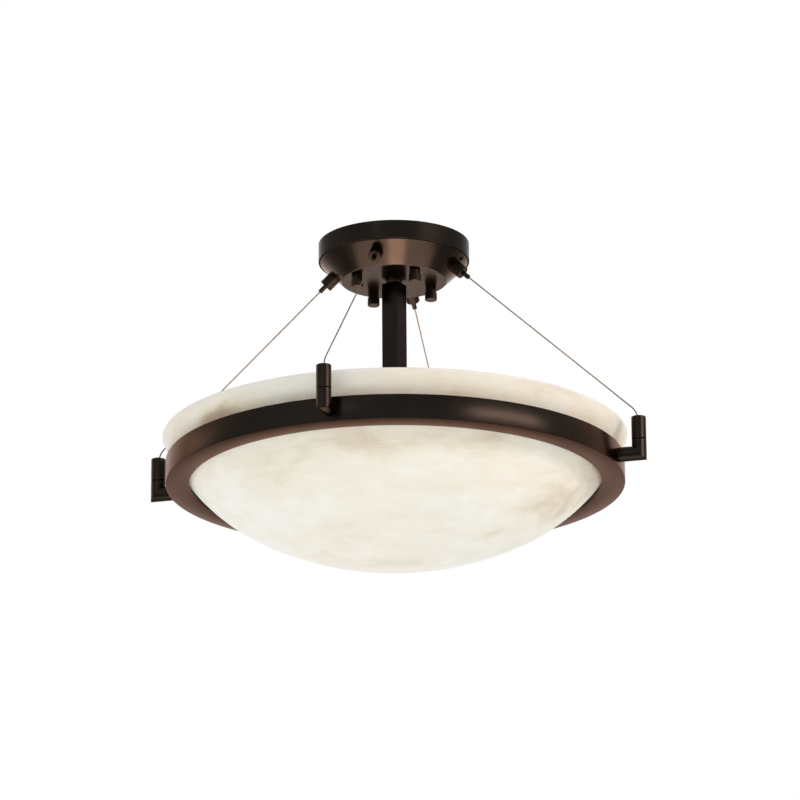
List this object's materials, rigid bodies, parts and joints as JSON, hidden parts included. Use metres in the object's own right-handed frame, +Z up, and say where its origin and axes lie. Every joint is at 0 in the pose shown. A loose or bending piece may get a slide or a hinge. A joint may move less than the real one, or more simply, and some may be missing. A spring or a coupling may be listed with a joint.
{
  "type": "semi flush ceiling light",
  "caption": "Round canopy with a square stem, steel cables that carry an L-section ring, and a cloudy bowl that lies in the ring around a lamp cluster.",
  "frame": {"origin": "centre of the canopy's upper face, on the ceiling plane", "axes": "+Z up, into the ceiling; the cable posts stand on the X and Y axes, and -Y is the front"},
  "size_m": [0.5126, 0.5126, 0.3326],
  "materials": {
    "dark_bronze": "dark bronze, satin",
    "steel_cable": "stranded bright wire rope",
    "spring_steel": "bright drawn wire",
    "plated_steel": "zinc plated",
    "brass_fitting": "bare brass",
    "wire_insulation": "soft wire covering",
    "clouded_resin": "cast resin with grey clouds like alabaster",
    "gasket_rubber": "matt",
    "socket_black": "moulded phenolic",
    "lamp_cap_metal": "rolled thread, bright",
    "lamp_glass": "frosted"
  },
  "bodies": {
    "frame": {"ceiling_pan": "dark_bronze", "canopy_dome": "dark_bronze", "stem_tube": "dark_bronze", "stem_spacer": "dark_bronze", "ring_hoop": "dark_bronze", "lamp_hub": "dark_bronze", "hub_cover": "dark_bronze", "hub_knob": "dark_bronze", "canopy_side_screw": "dark_bronze", "post_screws": "dark_bronze", "gripper_body_front": "dark_bronze", "gripper_spring_front": "spring_steel", "cable_front": "steel_cable", "post_elbow_front": "dark_bronze", "gripper_body_right": "dark_bronze", "gripper_spring_right": "spring_steel", "cable_right": "steel_cable", "post_elbow_right": "dark_bronze", "gripper_body_back": "dark_bronze", "gripper_spring_back": "spring_steel", "cable_back": "steel_cable", "post_elbow_back": "dark_bronze", "gripper_body_left": "dark_bronze", "gripper_spring_left": "spring_steel", "cable_left": "steel_cable", "post_elbow_left": "dark_bronze", "canopy_studs": "plated_steel", "stud_nuts": "plated_steel", "gripper_nuts": "plated_steel", "stem_pipe": "plated_steel", "stem_washer": "plated_steel", "pipe_nuts": "plated_steel", "socket_nipples": "plated_steel", "cable_ferrules": "plated_steel", "earth_screw": "brass_fitting", "screw_shells": "brass_fitting", "lamp_wires": "wire_insulation", "bowl_gasket": "gasket_rubber", "socket_1": "socket_black", "socket_2": "socket_black", "socket_3": "socket_black"},
    "cap_nut_front_left": {"cap_nut_front_left": "dark_bronze"},
    "cap_nut_front_right": {"cap_nut_front_right": "dark_bronze"},
    "cap_nut_back_right": {"cap_nut_back_right": "dark_bronze"},
    "cap_nut_back_left": {"cap_nut_back_left": "dark_bronze"},
    "post_cap_front": {"post_cap_front": "dark_bronze"},
    "post_cap_right": {"post_cap_right": "dark_bronze"},
    "post_cap_back": {"post_cap_back": "dark_bronze"},
    "post_cap_left": {"post_cap_left": "dark_bronze"},
    "gripper_plunger_front": {"gripper_plunger_front": "dark_bronze"},
    "gripper_plunger_right": {"gripper_plunger_right": "dark_bronze"},
    "gripper_plunger_back": {"gripper_plunger_back": "dark_bronze"},
    "gripper_plunger_left": {"gripper_plunger_left": "dark_bronze"},
    "lamp_1": {"lamp_glass_1": "lamp_glass", "lamp_base_1": "lamp_cap_metal"},
    "lamp_2": {"lamp_glass_2": "lamp_glass", "lamp_base_2": "lamp_cap_metal"},
    "lamp_3": {"lamp_glass_3": "lamp_glass", "lamp_base_3": "lamp_cap_metal"},
    "bowl": {"bowl": "clouded_resin"}
  },
  "joints": [
    {"name": "cap_nut_front_left_turn", "type": "hinge", "parent": "frame", "child": "cap_nut_front_left", "pos_m": [-0.03019, -0.03019, -0.046], "axis": [0, 0, 1], "continuous": true},
    {"name": "cap_nut_front_right_turn", "type": "hinge", "parent": "frame", "child": "cap_nut_front_right", "pos_m": [0.03019, -0.03019, -0.046], "axis": [0, 0, 1], "continuous": true},
    {"name": "cap_nut_back_right_turn", "type": "hinge", "parent": "frame", "child": "cap_nut_back_right", "pos_m": [0.03019, 0.03019, -0.046], "axis": [0, 0, 1], "continuous": true},
    {"name": "cap_nut_back_left_turn", "type": "hinge", "parent": "frame", "child": "cap_nut_back_left", "pos_m": [-0.03019, 0.03019, -0.046], "axis": [0, 0, 1], "continuous": true},
    {"name": "post_cap_front_turn", "type": "hinge", "parent": "frame", "child": "post_cap_front", "pos_m": [0, -0.249, -0.2161], "axis": [0, 0, 1], "continuous": true},
    {"name": "post_cap_right_turn", "type": "hinge", "parent": "frame", "child": "post_cap_right", "pos_m": [0.249, 0, -0.2161], "axis": [0, 0, 1], "continuous": true},
    {"name": "post_cap_back_turn", "type": "hinge", "parent": "frame", "child": "post_cap_back", "pos_m": [0, 0.249, -0.2161], "axis": [0, 0, 1], "continuous": true},
    {"name": "post_cap_left_turn", "type": "hinge", "parent": "frame", "child": "post_cap_left", "pos_m": [-0.249, 0, -0.2161], "axis": [0, 0, 1], "continuous": true},
    {"name": "gripper_front_release", "type": "slide", "parent": "frame", "child": "gripper_plunger_front", "axis": [0, 0.7352, 0.6779], "range_m": [0, 0.0025], "stiffness_N_per_m": 1500, "deforming": ["gripper_spring_front"]},
    {"name": "gripper_right_release", "type": "slide", "parent": "frame", "child": "gripper_plunger_right", "axis": [-0.7352, 0, 0.6779], "range_m": [0, 0.0025], "stiffness_N_per_m": 1500, "deforming": ["gripper_spring_right"]},
    {"name": "gripper_back_release", "type": "slide", "parent": "frame", "child": "gripper_plunger_back", "axis": [0, -0.7352, 0.6779], "range_m": [0, 0.0025], "stiffness_N_per_m": 1500, "deforming": ["gripper_spring_back"]},
    {"name": "gripper_left_release", "type": "slide", "parent": "frame", "child": "gripper_plunger_left", "axis": [0.7352, 0, 0.6779], "range_m": [0, 0.0025], "stiffness_N_per_m": 1500, "deforming": ["gripper_spring_left"]},
    {"name": "lamp_1_turn", "type": "hinge", "parent": "frame", "child": "lamp_1", "pos_m": [0, 0.05, -0.235], "axis": [0, 1, 0], "continuous": true},
    {"name": "lamp_2_turn", "type": "hinge", "parent": "frame", "child": "lamp_2", "pos_m": [-0.0433, -0.025, -0.235], "axis": [-0.866, -0.5, 0], "continuous": true},
    {"name": "lamp_3_turn", "type": "hinge", "parent": "frame", "child": "lamp_3", "pos_m": [0.0433, -0.025, -0.235], "axis": [0.866, -0.5, 0], "continuous": true},
    {"name": "bowl_lift", "type": "slide", "parent": "frame", "child": "bowl", "axis": [0, 0, 1], "range_m": [0, 0.015]}
  ]
}
